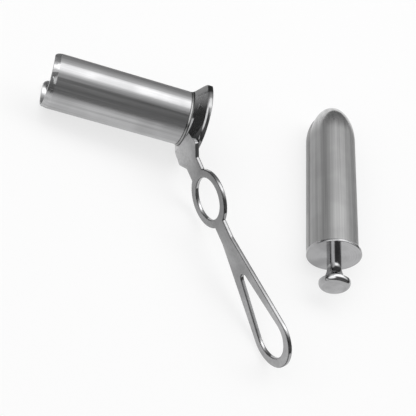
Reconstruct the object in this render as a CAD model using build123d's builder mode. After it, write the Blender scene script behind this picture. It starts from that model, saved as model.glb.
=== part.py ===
# Slotted anal speculum, lying on its side on a table, with its obturator lying beside it.
# All sizes are in millimetres. The speculum and the obturator are each built in their own axes
# and laid on the table at the end.
# Speculum: X runs along the tube to its lip, Y to the handle, Z out of the side that lies up.
# Obturator: X runs along the bar to its nose, Z up, and the land is on its under side.
import os
from math import asin, cos, degrees, radians, sin, sqrt, tan

from build123d import *

# Tube: sheet rolled to a C, open along its whole length on the side away from the handle
tube_radius = 16.5
tube_wall = 1.5
tube_length = 81.5
slot_half_angle = 60.0
lip_bevel_length = 3.5
lip_bevel_depth = 0.6
lip_round = 0.3
lip_corner_round = 3.0

# Collar and handle: one forging, as thick in the flared collar as in the flat handle
plate = 2.4
collar_radius = 24.6
collar_angle = 50.0
rim_front_round = 2.5
rim_back_round = 0.7
ear_round = 2.5
handle_lean = 30.0
plate_edge_round = 0.5

# Handle outline, measured along its middle line from where that line meets the tube's axis
root_bearing = 66.0
root_sink = 0.05
root_wide_at = 28.0
root_corner_round = 1.5
root_end_at = 34.0
root_inset = 0.6
upper_neck = 7.3
upper_neck_round = 5.0
ring_at = 57.0
ring_radius = 17.0
ring_hole_radius = 12.3
lower_neck = 5.4
lower_neck_at = 84.0
lower_neck_round = 9.0
loop_at = 142.5
loop_radius = 16.5
loop_hole_at = 141.7
loop_hole_radius = 12.0
loop_hole_tip_at = 107.7
loop_hole_tip_radius = 3.2

# Fillet of brazing metal where the tube meets the collar
braze_length = 1.8
braze_hollow = 0.43

# Obturator: a round bar with a land that fills the slot, a flange disc and a turned knob
bore_clearance = 0.4
land_side_clearance = 0.5
body_length = 84.0
nose_length = 27.0
land_nose_length = 26.0
flange_thickness = 1.8
flange_round = 0.4
stud_radius = 3.0
stud_length = 12.0
neck_radius = 4.4
neck_length = 9.0
knob_radius = 9.4
knob_length = 21.7
knob_rim_length = 0.8
knob_rim_round = 2.8

# Where the middle of the obturator's flange is, from the point of the collar's rim that touches
# the table, and the way its nose points
obturator_x = 96.1
obturator_y = -56.0
obturator_turn = 88.0

# How near a corner is looked for, the arc of a rounding, and how often the resting is refined
corner_tolerance = 0.01
quarter_turn = 90.0
settling_steps = 30

bore_radius = tube_radius - tube_wall
throat_radius = bore_radius + plate
flare = radians(collar_angle)
rim_front = (throat_radius - collar_radius) / tan(flare)
rim_back = rim_front - plate / sin(flare)
bell_start = rim_back + (collar_radius - bore_radius) / tan(flare)
half_wall = plate / cos(flare) / 2
lean = radians(handle_lean)
axis_crossing = throat_radius * tan(lean)
root_top = throat_radius / cos(lean)

middle = Plane.XY
section = Plane(origin=(0, 0, 0), x_dir=(0, 0, 1), z_dir=(1, 0, 0))
front_face = Plane(
    origin=(axis_crossing, 0, 0),
    x_dir=(-sin(lean), cos(lean), 0),
    z_dir=(cos(lean), sin(lean), 0),
)

# The flanks of the root lie along the flare, and all but touch it at their bearing on the collar
bearing = radians(root_bearing)
flare_tip = Vector(throat_radius / tan(flare), 0, 0)
flank_way = Vector(sin(flare), cos(flare) * cos(bearing), cos(flare) * sin(bearing))
flank_spread = degrees(asin(flank_way.dot(front_face.z_dir)))


def root_width(distance):
    """Half the width of the root's face at one distance along the handle."""
    middle_point = front_face.origin + front_face.x_dir * distance
    return ((flare_tip - middle_point).dot(flank_way) - root_sink) / flank_way.Z


def corners_at(corners, distance):
    """The corners of the handle's outline that lie at one distance along it."""
    return corners.filter_by_position(Axis.X, distance - corner_tolerance, distance + corner_tolerance)


def sector(half_angle, reach):
    """Corners of a wedge in a section, open towards +Y, that reaches past the given radius."""
    side = Vector(sin(radians(half_angle)), cos(radians(half_angle))) * (2 * reach)
    return [(0, 0), (side.X, side.Y), (side.X, 2 * reach), (-side.X, 2 * reach), (-side.X, side.Y)]


# Tube, with a lip that is bevelled outside and rounded at its edges and corners
with BuildPart() as tube:
    with BuildSketch(middle):
        Polygon(
            (0, bore_radius),
            (0, tube_radius),
            (tube_length - lip_bevel_length, tube_radius),
            (tube_length, tube_radius - lip_bevel_depth),
            (tube_length, bore_radius),
            align=None,
        )
    revolve(axis=Axis.X)
    with BuildSketch(section):
        Polygon(*sector(slot_half_angle, tube_radius), align=None)
    extrude(amount=tube_length, mode=Mode.SUBTRACT)
    lip_corners = tube.edges().filter_by(GeomType.LINE).group_by(Axis.X)[-1]
    fillet(lip_corners, lip_corner_round)
    lip_face = tube.faces().sort_by(Axis.X)[-1]
    fillet(lip_face.edges(), lip_round)

# Collar: a flare as thick as the handle, rounded at its rim and at the ears beside its slot
with BuildPart() as collar:
    with BuildSketch(middle) as collar_wall:
        Polygon(
            (bell_start, bore_radius),
            (0, bore_radius),
            (0, throat_radius),
            (rim_front, collar_radius),
            (rim_back, collar_radius),
            align=None,
        )
        rim_corners = collar_wall.vertices().group_by(Axis.Y)[-1].sort_by(Axis.X)
        fillet(rim_corners[-1], rim_front_round)
        rim_corners = collar_wall.vertices().group_by(Axis.Y)[-1].sort_by(Axis.X)
        fillet(rim_corners[0], rim_back_round)
    revolve(axis=Axis.X)
    with BuildSketch(section.offset(rim_back)) as collar_outline:
        Circle(collar_radius)
        Polygon(*sector(slot_half_angle, collar_radius), align=None, mode=Mode.SUBTRACT)
        fillet(collar_outline.vertices().group_by(Axis.Y)[-1], ear_round)
    extrude(amount=-rim_back, mode=Mode.INTERSECT)

# The space inside the middle of the collar's wall, where the root must not reach
with BuildPart() as wall_space:
    with BuildSketch(middle):
        Polygon(
            (0, 0),
            (0, throat_radius - half_wall),
            (2 * rim_back, throat_radius - half_wall - 2 * rim_back * tan(flare)),
            (2 * rim_back, 0),
            align=None,
        )
    revolve(axis=Axis.X)

# Outline of the flat handle: its root on the collar, a ring for the finger, and a long loop
with BuildSketch(front_face) as outline:
    with Locations((lower_neck_at, 0)):
        Circle(lower_neck)
    with Locations((loop_at, 0)):
        Circle(loop_radius)
    make_hull()
    with Locations((ring_at, 0)):
        Circle(ring_radius)
    with Locations((ring_at, 0)):
        Rectangle(lower_neck_at - ring_at, 2 * lower_neck, align=(Align.MIN, Align.CENTER))
        Rectangle(ring_at - root_top, 2 * upper_neck, align=(Align.MAX, Align.CENTER))
    Polygon(
        (root_top, root_width(root_top)),
        (root_wide_at, root_width(root_wide_at)),
        (root_end_at, upper_neck),
        (root_end_at, -upper_neck),
        (root_wide_at, -root_width(root_wide_at)),
        (root_top, -root_width(root_top)),
        align=None,
    )
    corners = outline.vertices()
    fillet(corners_at(corners, root_wide_at), root_corner_round)
    fillet(corners_at(corners, root_end_at), upper_neck_round)
    fillet(corners_at(corners, ring_at - sqrt(ring_radius**2 - upper_neck**2)), upper_neck_round)
    fillet(corners_at(corners, ring_at + sqrt(ring_radius**2 - lower_neck**2)), lower_neck_round)

# Flat part of the handle, pierced by the ring and the drop shaped loop, all its edges broken
with BuildSketch(front_face) as holes:
    with Locations((loop_hole_tip_at, 0)):
        Circle(loop_hole_tip_radius)
    with Locations((loop_hole_at, 0)):
        Circle(loop_hole_radius)
    make_hull()
    with Locations((ring_at, 0)):
        Circle(ring_hole_radius)

with BuildPart() as blank:
    extrude(outline.sketch, amount=-plate)
    extrude(holes.sketch, amount=-plate, mode=Mode.SUBTRACT)
    plate_faces = blank.faces().filter_by(Axis(front_face.origin, front_face.z_dir))
    fillet(plate_faces.edges(), plate_edge_round)

# Root: the flanks that spread from the sides of the handle's face to the collar and its rim
with BuildPart() as root:
    with BuildSketch(front_face):
        Polygon(
            (root_top, root_width(root_top)),
            (root_wide_at, root_width(root_wide_at)),
            (root_wide_at, -root_width(root_wide_at)),
            (root_top, -root_width(root_top)),
            align=None,
        )
    extrude(amount=rim_back, taper=-flank_spread)
    with BuildSketch(section.offset(rim_front)):
        Circle(collar_radius - root_inset)
    extrude(amount=-rim_front, mode=Mode.INTERSECT)
    add(wall_space.part, mode=Mode.SUBTRACT)

# Handle: the collar, the flanks and the flat handle are one forging
with BuildPart() as handle:
    add(collar.part)
    add(root.part)
    add(blank.part)

# Braze: a hollow fillet in the corner between the tube and the face of the collar
with BuildPart() as braze:
    with BuildSketch(middle):
        with BuildLine():
            Line((0, throat_radius), (0, tube_radius))
            Line((0, tube_radius), (braze_length, tube_radius))
            ThreePointArc(
                (braze_length, tube_radius),
                (
                    braze_hollow * braze_length,
                    tube_radius + braze_hollow * (throat_radius - tube_radius),
                ),
                (0, throat_radius),
            )
        make_face()
    revolve(axis=Axis.X)
    with BuildSketch(section):
        Polygon(*sector(slot_half_angle, tube_radius), align=None)
    extrude(amount=braze_length, mode=Mode.SUBTRACT)

# The obturator lies on its land and on the rim of its flange
body_radius = bore_radius - bore_clearance
land_half_angle = slot_half_angle - degrees(land_side_clearance / tube_radius)
bar = Plane.XY
bar_section = Plane(origin=(0, 0, 0), x_dir=(0, -1, 0), z_dir=(1, 0, 0))


def bullet(radius, nose):
    """Half the outline of a round bar with a rounded nose, from the flange to its tip."""
    Polyline((body_length + nose, 0), (0, 0), (0, radius), (body_length, radius))
    EllipticalCenterArc((body_length, 0), nose, radius, arc_size=quarter_turn)


# Obturator body: the land is what a wider bar leaves inside the slot's angle
with BuildPart() as obturator_body:
    with BuildSketch(bar):
        with BuildLine():
            bullet(tube_radius, land_nose_length)
        make_face()
    revolve(axis=Axis.X)
    with BuildSketch(bar_section):
        Polygon(*sector(land_half_angle, tube_radius), align=None)
    extrude(amount=body_length + nose_length, mode=Mode.INTERSECT)
    with BuildSketch(bar):
        with BuildLine():
            bullet(body_radius, nose_length)
        make_face()
    revolve(axis=Axis.X)
    with BuildSketch(bar_section):
        Circle(stud_radius)
    extrude(amount=stud_length, mode=Mode.SUBTRACT)

# Obturator flange: a disc as wide as the tube, held between the body and the knob
with BuildPart() as obturator_flange:
    with BuildSketch(bar_section):
        Circle(tube_radius)
    extrude(amount=-flange_thickness)
    fillet(obturator_flange.edges(), flange_round)
    with BuildSketch(bar_section):
        Circle(stud_radius)
    extrude(amount=-flange_thickness, mode=Mode.SUBTRACT)

# Obturator knob: a turned knob on a neck, with the stud that goes through the flange
with BuildPart() as obturator_knob:
    with BuildSketch(bar):
        knob_foot = -flange_thickness - neck_length
        knob_end = -flange_thickness - knob_length
        widest_at = knob_end + knob_rim_round + knob_rim_length
        with BuildLine():
            Polyline(
                (knob_end, knob_radius - knob_rim_round),
                (knob_end, 0),
                (stud_length, 0),
                (stud_length, stud_radius),
                (-flange_thickness, stud_radius),
                (-flange_thickness, neck_radius),
                (knob_foot, neck_radius),
            )
            TangentArc((knob_foot, neck_radius), (widest_at, knob_radius), tangent=(-1, 0))
            Line((widest_at, knob_radius), (knob_end + knob_rim_round, knob_radius))
            CenterArc(
                (knob_end + knob_rim_round, knob_radius - knob_rim_round),
                knob_rim_round,
                quarter_turn,
                quarter_turn,
            )
        make_face()
    revolve(axis=Axis.X)


def along_handle(distance):
    """A point on the middle line of the handle's front face."""
    return front_face.from_local_coords(Vector(distance, 0, 0))


# The speculum lies on three edges: the rim of its collar, the lip of its tube and the loop.
# Each is a circle with a rounded edge: its middle, its axis, its radius and its rounding.
resting_edges = [
    (
        Vector(rim_front - rim_front_round * tan(flare / 2), 0, 0),
        Vector(1, 0, 0),
        collar_radius - rim_front_round,
        rim_front_round,
    ),
    (Vector(tube_length - lip_bevel_length, 0, 0), Vector(1, 0, 0), tube_radius, 0),
    (
        along_handle(loop_at) - front_face.z_dir * plate_edge_round,
        front_face.z_dir,
        loop_radius - plate_edge_round,
        plate_edge_round,
    ),
]


def lowest_point(edge, up):
    """The point of a rounded circular edge that lies lowest when up is the way up."""
    centre, axis, radius, rounding = edge
    outward = (up - axis * up.dot(axis)).normalized()
    return centre - outward * radius - up * rounding


up = Vector(0, 0, 1)
for settling_step in range(settling_steps):
    rim_point, lip_point, loop_point = (lowest_point(edge, up) for edge in resting_edges)
    up = (loop_point - rim_point).cross(lip_point - rim_point).normalized()
    if up.Z < 0:
        up = up * -1
table = Plane(origin=rim_point, x_dir=up.cross(Vector(0, 1, 0)), z_dir=up)

tube.part.label = "tube"
handle.part.label = "handle"
braze.part.label = "braze"
obturator_body.part.label = "obturator_body"
obturator_flange.part.label = "obturator_flange"
obturator_knob.part.label = "obturator_knob"

# Both are laid on the table, and the origin is put on it, under the middle of everything
speculum = [tube.part, handle.part, braze.part]
obturator = [obturator_body.part, obturator_flange.part, obturator_knob.part]
for piece in speculum:
    piece.move(table.location.inverse())
for piece in obturator:
    piece.move(Location((obturator_x, obturator_y, tube_radius), (0, 0, obturator_turn)))
boxes = [piece.bounding_box() for piece in speculum + obturator]
middle_x = (min(box.min.X for box in boxes) + max(box.max.X for box in boxes)) / 2
middle_y = (min(box.min.Y for box in boxes) + max(box.max.Y for box in boxes)) / 2
for piece in speculum + obturator:
    piece.move(Location((-middle_x, -middle_y, 0)))

os.makedirs("parts", exist_ok=True)
export_step(tube.part, "parts/tube.step")
export_step(handle.part, "parts/handle.step")
export_step(braze.part, "parts/braze.step")
export_step(obturator_body.part, "parts/obturator_body.step")
export_step(obturator_flange.part, "parts/obturator_flange.step")
export_step(obturator_knob.part, "parts/obturator_knob.step")
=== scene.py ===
from math import cos, pi, radians, sin, tan

import bpy
from mathutils import Matrix, Vector


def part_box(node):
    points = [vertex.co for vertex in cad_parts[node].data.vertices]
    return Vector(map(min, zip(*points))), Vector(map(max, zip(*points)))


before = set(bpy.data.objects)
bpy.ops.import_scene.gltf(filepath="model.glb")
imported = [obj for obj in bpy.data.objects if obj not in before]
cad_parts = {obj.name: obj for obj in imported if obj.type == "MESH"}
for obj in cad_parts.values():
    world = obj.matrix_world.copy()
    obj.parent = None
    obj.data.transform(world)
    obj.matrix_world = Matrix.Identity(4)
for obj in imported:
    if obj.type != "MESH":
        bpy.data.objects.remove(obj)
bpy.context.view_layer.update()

# Tube: stainless sheet rolled to a C and rubbed satin along its length, with a lip filed by hand.
# Its grain is laid out in the speculum's own axes, from the middle of the collar: X along the tube
# to the lip, Y down the handle and Z out of the side that lies up.
tube_low, tube_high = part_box("tube")
tube_radius = 0.0165
tube_length = 0.0815
foot_overhang = 0.0016
collar_middle_height = 0.0237
collar_middle = Vector((tube_high.x - foot_overhang, tube_low.y + tube_radius, collar_middle_height))
speculum_turn = (radians(-6.23), radians(5.44), radians(179.41))
tube_grey = (0.47, 0.47, 0.475, 1)
tube_lines_across = 520
tube_lines_along = 8
tube_smudges = 45
tube_streaks = 0.22
tube_roughness = (0.27, 0.1, 0.05)
lip_width = 0.0036
lip_border = 0.0003
lip_roughness = 0.24
lip_facets = 300
lip_facet_tilt = 0.22
level_facet = (0.5, 0.5, 0.5)


class Bench:
    """A node tree that is put together step by step."""

    def __init__(self, tree):
        tree.nodes.clear()
        self.tree = tree

    def add(self, kind, **settings):
        """A new node with the given settings."""
        node = self.tree.nodes.new(kind)
        for name, value in settings.items():
            setattr(node, name, value)
        return node

    def feed(self, socket, value):
        """Joins a socket to another one, or gives it a plain value."""
        if isinstance(value, bpy.types.NodeSocket):
            self.tree.links.new(value, socket)
        else:
            socket.default_value = value

    def use(self, group, given):
        """A shared node group, with its inputs fed by name."""
        node = self.add("ShaderNodeGroup", node_tree=group)
        for label, value in given.items():
            self.feed(node.inputs[label], value)
        return node

    def calculate(self, operation, *values):
        """One step of arithmetic on numbers."""
        step = self.add("ShaderNodeMath", operation=operation)
        for socket, value in zip(step.inputs, values):
            self.feed(socket, value)
        return step.outputs["Value"]

    def measure(self, operation, *vectors):
        """One step on vectors that ends in a number."""
        step = self.add("ShaderNodeVectorMath", operation=operation)
        for socket, value in zip(step.inputs, vectors):
            self.feed(socket, value)
        return step.outputs["Value"]

    def shift(self, operation, *vectors, **scale):
        """One step on vectors that ends in a vector."""
        step = self.add("ShaderNodeVectorMath", operation=operation)
        for socket, value in zip(step.inputs, vectors):
            self.feed(socket, value)
        for label, value in scale.items():
            self.feed(step.inputs[label], value)
        return step.outputs["Vector"]

    def split(self, vector):
        """The X, Y and Z of a vector."""
        parts = self.add("ShaderNodeSeparateXYZ")
        self.feed(parts.inputs["Vector"], vector)
        return parts.outputs

    def gather(self, **parts):
        """A vector from its X, Y and Z. What isn't given is 0."""
        whole = self.add("ShaderNodeCombineXYZ")
        for label, value in parts.items():
            self.feed(whole.inputs[label], value)
        return whole.outputs["Vector"]

    def grade(self, value, start, end, low=0, high=1, kind="LINEAR"):
        """Goes from low to high while a value goes from start to end."""
        step = self.add("ShaderNodeMapRange", interpolation_type=kind)
        limits = {"Value": value, "From Min": start, "From Max": end, "To Min": low, "To Max": high}
        for label, limit in limits.items():
            self.feed(step.inputs[label], limit)
        return step.outputs["Result"]

    def mix(self, amount, first, second, **settings):
        """A blend of two numbers, vectors or colours."""
        step = self.add("ShaderNodeMix", **settings)
        for label, value in (("Factor", amount), ("A", first), ("B", second)):
            self.feed(step.inputs[label], value)
        return step.outputs["Result"]

    def tint(self, colour, by, amount=1):
        """A colour multiplied by another one, or by a share that comes from a socket."""
        return self.mix(amount, colour, by, data_type="RGBA", blend_type="MULTIPLY")

    def tones(self, value, stops, kind="LINEAR"):
        """A grey that follows a value through stops, each with its place and its share of white."""
        ramp = self.add("ShaderNodeValToRGB")
        ramp.color_ramp.interpolation = kind
        elements = ramp.color_ramp.elements
        for place, share in stops[2:]:
            elements.new(place)
        for element, (place, share) in zip(elements, stops):
            element.position = place
            element.color = (share, share, share, 1)
        self.feed(ramp.inputs["Fac"], value)
        return ramp.outputs["Color"]


def new_group(name, inputs, outputs):
    """An empty shader node group with its sockets: its bench, what it is given and its results."""
    tree = bpy.data.node_groups.new(name, "ShaderNodeTree")
    for label, kind in inputs:
        tree.interface.new_socket(label, in_out="INPUT", socket_type=kind)
    for label in outputs:
        tree.interface.new_socket(label, in_out="OUTPUT", socket_type="NodeSocketFloat")
    bench = Bench(tree)
    return bench, bench.add("NodeGroupInput").outputs, bench.add("NodeGroupOutput").inputs


def rubbed_grain():
    """Fine lines along X, as an abrasive belt leaves them, between 0 and 1."""
    faintest, strongest = 0.28, 0.72
    fineness = 3
    raggedness = 0.6
    bench, given, result = new_group(
        "rubbed_grain",
        [("Place", "NodeSocketVector"), ("Across", "NodeSocketFloat"), ("Along", "NodeSocketFloat")],
        ["Grain"],
    )
    density = bench.gather(X=given["Along"], Y=given["Across"], Z=given["Across"])
    lines = bench.add("ShaderNodeTexNoise")
    lines.inputs["Scale"].default_value = 1
    lines.inputs["Detail"].default_value = fineness
    lines.inputs["Roughness"].default_value = raggedness
    bench.feed(lines.inputs["Vector"], bench.shift("MULTIPLY", given["Place"], density))
    bench.feed(result["Grain"], bench.grade(lines.outputs["Fac"], faintest, strongest))
    return bench.tree


def handling_marks():
    """Soft smudges and a few fine scratches left by handling and sterilising, between 0 and 1."""
    smudge_detail = 2
    clean_below, smudged_above = 0.35, 0.7
    scratch_bend = 1.5
    scratch_width = 0.006
    bench, given, result = new_group(
        "handling_marks",
        [
            ("Place", "NodeSocketVector"),
            ("Smudge Size", "NodeSocketFloat"),
            ("Scratch Size", "NodeSocketFloat"),
        ],
        ["Smudges", "Scratches"],
    )
    smudge = bench.add("ShaderNodeTexNoise")
    smudge.inputs["Detail"].default_value = smudge_detail
    bench.feed(smudge.inputs["Vector"], given["Place"])
    bench.feed(smudge.inputs["Scale"], given["Smudge Size"])
    soft = bench.grade(smudge.outputs["Fac"], clean_below, smudged_above, kind="SMOOTHSTEP")
    bench.feed(result["Smudges"], soft)
    wander = bench.add("ShaderNodeTexNoise")
    wander.inputs["Detail"].default_value = 0
    wander.inputs["Distortion"].default_value = scratch_bend
    bench.feed(wander.inputs["Vector"], given["Place"])
    bench.feed(wander.inputs["Scale"], given["Scratch Size"])
    middle_line = bench.calculate("COMPARE", wander.outputs["Fac"], 0.5, scratch_width)
    bench.feed(result["Scratches"], middle_line)
    return bench.tree


grain_group = rubbed_grain()
marks_group = handling_marks()


def steel(name, colour, place, turn, lines_across, lines_along, smudges, dullness=0.14, contrast=0.12):
    """A metal with its grain and its handling marks laid out in a piece's own axes."""
    material = bpy.data.materials.new(name)
    material.use_nodes = True
    metal = Bench(material.node_tree)
    metal.material = material
    metal.shader = metal.add("ShaderNodeBsdfPrincipled")
    metal.shader.inputs["Metallic"].default_value = 1
    surface = metal.add("ShaderNodeOutputMaterial").inputs["Surface"]
    metal.feed(surface, metal.shader.outputs["BSDF"])
    layout = metal.add("ShaderNodeMapping", vector_type="TEXTURE")
    metal.feed(layout.inputs["Location"], place)
    metal.feed(layout.inputs["Rotation"], turn)
    metal.feed(layout.inputs["Vector"], metal.add("ShaderNodeTexCoord").outputs["Object"])
    metal.place = layout.outputs["Vector"]
    lines = {"Place": metal.place, "Across": lines_across, "Along": lines_along}
    metal.rubbing = metal.use(grain_group, lines)
    metal.grain = metal.rubbing.outputs["Grain"]
    sizes = {"Place": metal.place, "Smudge Size": smudges, "Scratch Size": 4 * smudges}
    metal.marks = metal.use(marks_group, sizes).outputs
    darkest = [(1 - contrast) * share for share in colour[:3]] + [1]
    lightest = [(1 + contrast) * share for share in colour[:3]] + [1]
    dulled = [1 - dullness] * 3 + [1]
    streaked = metal.mix(metal.grain, darkest, lightest, data_type="RGBA")
    metal.colour = metal.tint(streaked, dulled, metal.marks["Smudges"])
    return metal


def roughen(metal, smooth, by_grain, by_smudge):
    """Sets a metal's roughness from its plain finish, its grain and its smudges."""
    lined = metal.calculate("MULTIPLY_ADD", metal.grain, by_grain, smooth)
    metal.roughness = metal.calculate("MULTIPLY_ADD", metal.marks["Smudges"], by_smudge, lined)


def groove(metal, depth, strength):
    """Sets a metal's relief from its grain and its scratches, which are half as deep."""
    cut = metal.calculate("MULTIPLY_ADD", metal.marks["Scratches"], -0.5, metal.grain)
    relief = metal.add("ShaderNodeBump")
    relief.inputs["Distance"].default_value = depth
    relief.inputs["Strength"].default_value = strength
    metal.feed(relief.inputs["Height"], cut)
    metal.normal = relief.outputs["Normal"]


def give(metal, *nodes):
    """Finishes a metal and puts it on CAD nodes, in the slots that they came with."""
    metal.feed(metal.shader.inputs["Base Color"], metal.colour)
    metal.feed(metal.shader.inputs["Roughness"], metal.roughness)
    metal.feed(metal.shader.inputs["Normal"], metal.normal)
    for node in nodes:
        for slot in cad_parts[node].material_slots:
            slot.material = metal.material


tube_metal = steel(
    "satin_tube",
    tube_grey,
    collar_middle,
    speculum_turn,
    tube_lines_across,
    tube_lines_along,
    tube_smudges,
    contrast=tube_streaks,
)
roughen(tube_metal, *tube_roughness)
groove(tube_metal, depth=0.00002, strength=0.25)

# Each short stroke of the file has left its own small facet on the lip.
lip_start = tube_length - lip_width
on_lip = tube_metal.grade(tube_metal.split(tube_metal.place)["X"], lip_start, lip_start + lip_border)
tube_metal.roughness = tube_metal.mix(on_lip, tube_metal.roughness, lip_roughness)
strokes = tube_metal.add("ShaderNodeTexVoronoi")
strokes.inputs["Scale"].default_value = lip_facets
tube_metal.feed(strokes.inputs["Vector"], tube_metal.place)
leaning = tube_metal.shift("SUBTRACT", strokes.outputs["Color"], level_facet)
tilt = tube_metal.calculate("MULTIPLY", on_lip, lip_facet_tilt)
turned = tube_metal.shift("ADD", tube_metal.normal, tube_metal.shift("SCALE", leaning, Scale=tilt))
tube_metal.normal = tube_metal.shift("NORMALIZE", turned)
give(tube_metal, "tube")

# Handle: one forging, from the trumpet collar to the loop. Its flat faces are ground satin down
# their length. The collar and all the edges are buffed bright, and the edges show as sharp lines,
# darkened by painted shade.
handle_grey = (0.48, 0.48, 0.485, 1)
handle_lines_across = 700
handle_lines_along = 60
handle_smudges = 40
handle_dullness = 0.3
handle_roughness = (0.26, 0.08, 0.06)
buffed_roughness = 0.1
plate_lean = radians(30)
collar_radius = 0.0246
edge_reach = 0.0011
edge_fineness = 6
rounded_below, flat_above = 0.93, 0.99
handle_metal = steel(
    "ground_handle",
    handle_grey,
    collar_middle,
    speculum_turn,
    handle_lines_across,
    handle_lines_along,
    handle_smudges,
    handle_dullness,
)
turn_x, turn_y, turn_z = speculum_turn
speculum_way = (
    Matrix.Rotation(turn_z, 3, "Z") @ Matrix.Rotation(turn_y, 3, "Y") @ Matrix.Rotation(turn_x, 3, "X")
)
plate_normal = speculum_way @ Vector((cos(plate_lean), sin(plate_lean), 0))
own = handle_metal.split(handle_metal.place)
past_collar = handle_metal.calculate("GREATER_THAN", own["Y"], collar_radius)
rounded = handle_metal.add("ShaderNodeBevel", samples=edge_fineness)
rounded.inputs["Radius"].default_value = edge_reach
plain_normal = handle_metal.add("ShaderNodeNewGeometry").outputs["Normal"]
handle_metal.normal = handle_metal.mix(
    past_collar, plain_normal, rounded.outputs["Normal"], data_type="VECTOR"
)
facing = handle_metal.measure("DOT_PRODUCT", handle_metal.normal, plate_normal)
squareness = handle_metal.calculate("ABSOLUTE", facing)
flat = handle_metal.grade(squareness, rounded_below, flat_above, kind="SMOOTHSTEP")
roughen(handle_metal, *handle_roughness)
handle_metal.roughness = handle_metal.mix(flat, buffed_roughness, handle_metal.roughness)

# The tone of the flat faces along the handle is set to the photograph's, darkest round the finger ring.
# It is painted shade, with a little painted light near the collar, as a factor on the colour, and not
# wear.
handle_reach = 0.14
face_shade_stops = ((0.15, 1.1), (0.21, 0.75), (0.28, 0.55), (0.36, 0.62), (0.55, 0.82), (1.0, 0.95))
down_handle = handle_metal.calculate("DIVIDE", own["Y"], handle_reach)
painted_face_shade = handle_metal.tones(down_handle, face_shade_stops, "EASE")
handle_metal.colour = handle_metal.tint(handle_metal.colour, painted_face_shade, flat)

# Factors on the collar's colour that are painted reflections, which the room doesn't give: the flare's
# upper half is painted lighter, and its ears and its rim are painted darker.
flare_bright_to = 0.003
flare_plain_from = 0.008
flare_painted_lightness = 1.8
ear_bearing = radians(102)
ear_starts, ear_ends = -0.0006, 0.0008
ear_painted_darkness = 0.24
rim_from = -0.0058
rim_border = 0.0008
rim_painted_darkness = 0.7
flare_painted_tone = handle_metal.grade(own["Y"], flare_bright_to, flare_plain_from, flare_painted_lightness, 1)
on_flare = handle_metal.grade(own["X"], rim_from, rim_from + rim_border)
flare_painted_tone = handle_metal.mix(on_flare, rim_painted_darkness, flare_painted_tone)
upright = handle_metal.calculate("ABSOLUTE", own["Z"])
below_ear = handle_metal.calculate("MULTIPLY_ADD", upright, tan(ear_bearing - pi / 2), own["Y"])
ear_painted_tone = handle_metal.grade(below_ear, ear_starts, ear_ends, ear_painted_darkness, 1)
collar_painted_tone = handle_metal.calculate("MULTIPLY", flare_painted_tone, ear_painted_tone)
on_collar = handle_metal.calculate("LESS_THAN", own["Y"], collar_radius)
handle_metal.colour = handle_metal.tint(handle_metal.colour, collar_painted_tone, on_collar)

# The broken edges of the plate are darkened by a factor too, as they look in the photograph: painted
# shade that stands for a dark room mirrored in their rounding.
painted_edge_tones = ((0.0, 0.9), (0.16, 0.8), (0.38, 0.22), (0.88, 0.22), (0.97, 1.0), (1.0, 1.0))
edge_shade = handle_metal.tones(squareness, painted_edge_tones)
handle_metal.colour = handle_metal.tint(handle_metal.colour, edge_shade, past_collar)
give(handle_metal, "handle")

# Braze: silver brazing metal run round the joint of tube and collar, filed and buffed. The dark line
# at both its borders is taken to be flux.
braze_silver = (0.34, 0.34, 0.34, 1)
braze_lines = 300
braze_smudges = 120
braze_roughness = (0.2, 0.12, 0.05)
border_darkness = 0.25
tube_border = (0.001, 0.0015)
collar_border = (0.0169, 0.0171)


def axis_place():
    """Where a point lies along the X axis and how far from it."""
    bench, given, result = new_group("axis_place", [("Place", "NodeSocketVector")], ["Along", "Radius"])
    place = bench.split(given["Place"])
    bench.feed(result["Along"], place["X"])
    bench.feed(result["Radius"], bench.measure("LENGTH", bench.gather(Y=place["Y"], Z=place["Z"])))
    return bench.tree


axis_group = axis_place()
braze_metal = steel(
    "silver_braze",
    braze_silver,
    collar_middle,
    speculum_turn,
    braze_lines,
    braze_lines,
    braze_smudges,
)
roughen(braze_metal, *braze_roughness)
groove(braze_metal, depth=0.00003, strength=0.4)
own = braze_metal.use(axis_group, {"Place": braze_metal.place}).outputs
tube_border_darkening = braze_metal.grade(own["Along"], *tube_border, 1, border_darkness)
collar_border_darkening = braze_metal.grade(own["Radius"], *collar_border, 1, border_darkness)
border_darkening = braze_metal.calculate("MULTIPLY", tube_border_darkening, collar_border_darkening)
braze_metal.colour = braze_metal.tint(braze_metal.colour, border_darkening)
give(braze_metal, "braze")

# Obturator body: a turned bar, rubbed satin along its length, with its nose buffed bright, and also
# lightened by a factor as a painted highlight. It is laid out in its own axes, from the middle of the
# flange: X along the bar to the nose.
body_low, body_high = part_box("obturator_body")
obturator_turn = (0, 0, radians(88))
flange_offset = 0.0146
flange_middle = Vector((body_low.x + flange_offset, body_low.y, body_high.z / 2))
body_grey = (0.36, 0.36, 0.36, 1)
body_lines_across = 480
body_lines_along = 5
body_smudges = 60
body_dullness = 0.08
body_streaks = 0.24
body_roughness = (0.4, 0.12, 0.05)
nose_starts = 0.082
nose_border = 0.02
nose_roughness = 0.15
nose_painted_highlight = (1.45, 1.45, 1.45, 1)
body_metal = steel(
    "satin_obturator",
    body_grey,
    flange_middle,
    obturator_turn,
    body_lines_across,
    body_lines_along,
    body_smudges,
    body_dullness,
    body_streaks,
)
roughen(body_metal, *body_roughness)
groove(body_metal, depth=0.00002, strength=0.25)
along = body_metal.split(body_metal.place)["X"]
on_nose = body_metal.grade(along, nose_starts, nose_starts + nose_border, kind="SMOOTHSTEP")
body_metal.roughness = body_metal.mix(on_nose, body_metal.roughness, nose_roughness)
# The nose's lighter colour is a painted highlight.
body_metal.colour = body_metal.tint(body_metal.colour, nose_painted_highlight, on_nose)
give(body_metal, "obturator_body")

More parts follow.
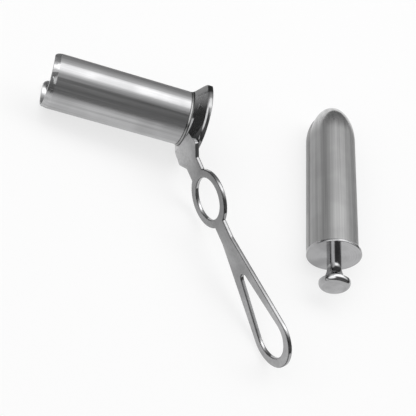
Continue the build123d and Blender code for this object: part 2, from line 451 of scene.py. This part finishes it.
# Obturator flange and knob: turned on a lathe and polished to a mirror, with faint rings left round
# them. The knob's stud holds the flange on the body.
mirror_grey = (0.43, 0.43, 0.435, 1)
lathe_rings = 1500
mirror_smudges = 90
mirror_dullness = 0.2
mirror_contrast = 0.1
mirror_roughness = (0.05, 0.08, 0.06)
mirror_metal = steel(
    "polished_turning",
    mirror_grey,
    flange_middle,
    obturator_turn,
    lathe_rings,
    lathe_rings,
    mirror_smudges,
    mirror_dullness,
    mirror_contrast,
)
own = mirror_metal.use(axis_group, {"Place": mirror_metal.place}).outputs
ring_place = mirror_metal.gather(X=own["Along"], Y=own["Radius"])
mirror_metal.feed(mirror_metal.rubbing.inputs["Place"], ring_place)
roughen(mirror_metal, *mirror_roughness)
groove(mirror_metal, depth=0.00001, strength=0.2)
give(mirror_metal, "obturator_flange", "obturator_knob")

# Table: a plain white table top that shows as white paper and keeps the object's shadow.
table_width = 6
table_white = (0.9, 0.9, 0.9, 1)
paper_white = (1, 1, 1, 1)
paper_share = 0.7
bpy.ops.mesh.primitive_plane_add(size=table_width)
table_top = bpy.context.object
table_top.name = "table_top"
table_paper = bpy.data.materials.new("table_white")
table_paper.use_nodes = True
table_top.data.materials.append(table_paper)
bench = Bench(table_paper.node_tree)
matt = bench.add("ShaderNodeBsdfDiffuse")
matt.inputs["Color"].default_value = table_white
paper = bench.add("ShaderNodeEmission")
paper.inputs["Color"].default_value = paper_white
ray = bench.add("ShaderNodeLightPath").outputs
seen = bench.calculate("MAXIMUM", ray["Is Camera Ray"], ray["Is Glossy Ray"])
shown = bench.calculate("MAXIMUM", seen, ray["Is Transmission Ray"])
both = bench.add("ShaderNodeMixShader")
bench.feed(both.inputs["Fac"], bench.calculate("MULTIPLY", shown, paper_share))
bench.feed(both.inputs[1], matt.outputs["BSDF"])
bench.feed(both.inputs[2], paper.outputs["Emission"])
bench.feed(bench.add("ShaderNodeOutputMaterial").inputs["Surface"], both.outputs["Shader"])

# Room: white to camera rays alone. To all others it is graded by the angle round the X axis, from
# the horizon ahead over the top to the one behind, as shares of its brightest band, set to the
# steel's tones in the photograph. Both its ends are dark, and a soft light stands in it on the left.
room_bands = (
    (0.0, 0.1),
    (0.09, 0.1),
    (0.23, 0.2),
    (0.33, 0.6),
    (0.41, 1.0),
    (0.455, 0.95),
    (0.495, 0.5),
    (0.55, 0.24),
    (0.61, 0.07),
    (0.72, 0.05),
    (0.82, 0.12),
    (0.93, 0.06),
    (1.0, 0.03),
)
room_brightest = 2.1
room_end = (0.025, 0.025, 0.025, 1)
room_end_from = 0.75
side_light_azimuth = radians(-115)
side_light_elevation = radians(36)
side_light_share = 0.9
side_light_core = radians(16)
side_light_edge = radians(32)
world = bpy.data.worlds.new("room")
bpy.context.scene.world = world
world.use_nodes = True
bench = Bench(world.node_tree)
outside = bench.add("ShaderNodeTexCoord").outputs["Generated"]
way = bench.split(outside)
half_turns = bench.calculate("DIVIDE", bench.calculate("ARCTAN2", way["Z"], way["Y"]), pi)
bands = bench.tones(half_turns, room_bands, "B_SPLINE")
sideways = bench.calculate("ABSOLUTE", way["X"])
at_end = bench.grade(sideways, room_end_from, 1, kind="SMOOTHSTEP")
walls = bench.mix(at_end, bands, room_end, data_type="RGBA")
side_light_way = (
    sin(side_light_azimuth) * cos(side_light_elevation),
    cos(side_light_azimuth) * cos(side_light_elevation),
    sin(side_light_elevation),
)
side_light = bench.grade(
    bench.measure("DOT_PRODUCT", outside, side_light_way),
    cos(side_light_edge),
    cos(side_light_core),
    high=side_light_share,
    kind="SMOOTHSTEP",
)
room = bench.mix(1, walls, side_light, data_type="RGBA", blend_type="ADD")
background = bench.add("ShaderNodeBackground")
background.inputs["Strength"].default_value = room_brightest
bench.feed(background.inputs["Color"], room)
backdrop = bench.add("ShaderNodeBackground")
backdrop.inputs["Color"].default_value = paper_white
both = bench.add("ShaderNodeMixShader")
bench.feed(both.inputs["Fac"], bench.add("ShaderNodeLightPath").outputs["Is Camera Ray"])
bench.feed(both.inputs[1], background.outputs["Background"])
bench.feed(both.inputs[2], backdrop.outputs["Background"])
bench.feed(bench.add("ShaderNodeOutputWorld").inputs["Surface"], both.outputs["Shader"])

# Lamp: one long soft lamp high over the table, beyond the object and a little to the right.
lamp_length = 1.3
lamp_width = 0.5
lamp_place = (0.1, 0.32, 0.9)
lamp_brightness = 0.9
lamp = bpy.data.lights.new("long_lamp", "AREA")
lamp.shape = "RECTANGLE"
lamp.size = lamp_length
lamp.size_y = lamp_width
lamp.energy = lamp_brightness * pi * lamp_length * lamp_width
lamp_object = bpy.data.objects.new("long_lamp", lamp)
lamp_object.location = lamp_place
bpy.context.scene.collection.objects.link(lamp_object)

# Camera: it looks down on the table, rolled to the left, so that the tube slopes down to the right
# and the handle hangs below it.
camera_azimuth = radians(33.3)
camera_elevation = radians(47.76)
camera_roll = radians(43.5)
camera_distance = 0.5706
camera_lens = 84.28
camera_film = 36
aim_from_foot = 0.0276
aim_from_side = 0.0232
aim = Vector((tube_high.x + aim_from_foot, tube_low.y - aim_from_side, 0))
camera = bpy.data.cameras.new("camera")
camera.lens = camera_lens
camera.sensor_width = camera_film
camera_object = bpy.data.objects.new("camera", camera)
camera_turn = (
    Matrix.Rotation(-camera_azimuth, 4, "Z")
    @ Matrix.Rotation(pi / 2 - camera_elevation, 4, "X")
    @ Matrix.Rotation(camera_roll, 4, "Z")
)
back_from_aim = Vector(
    (
        -sin(camera_azimuth) * cos(camera_elevation),
        -cos(camera_azimuth) * cos(camera_elevation),
        sin(camera_elevation),
    )
)
camera_object.matrix_world = Matrix.Translation(aim + camera_distance * back_from_aim) @ camera_turn
bpy.context.scene.collection.objects.link(camera_object)
bpy.context.scene.camera = camera_object
bpy.context.scene.view_settings.view_transform = "Standard"
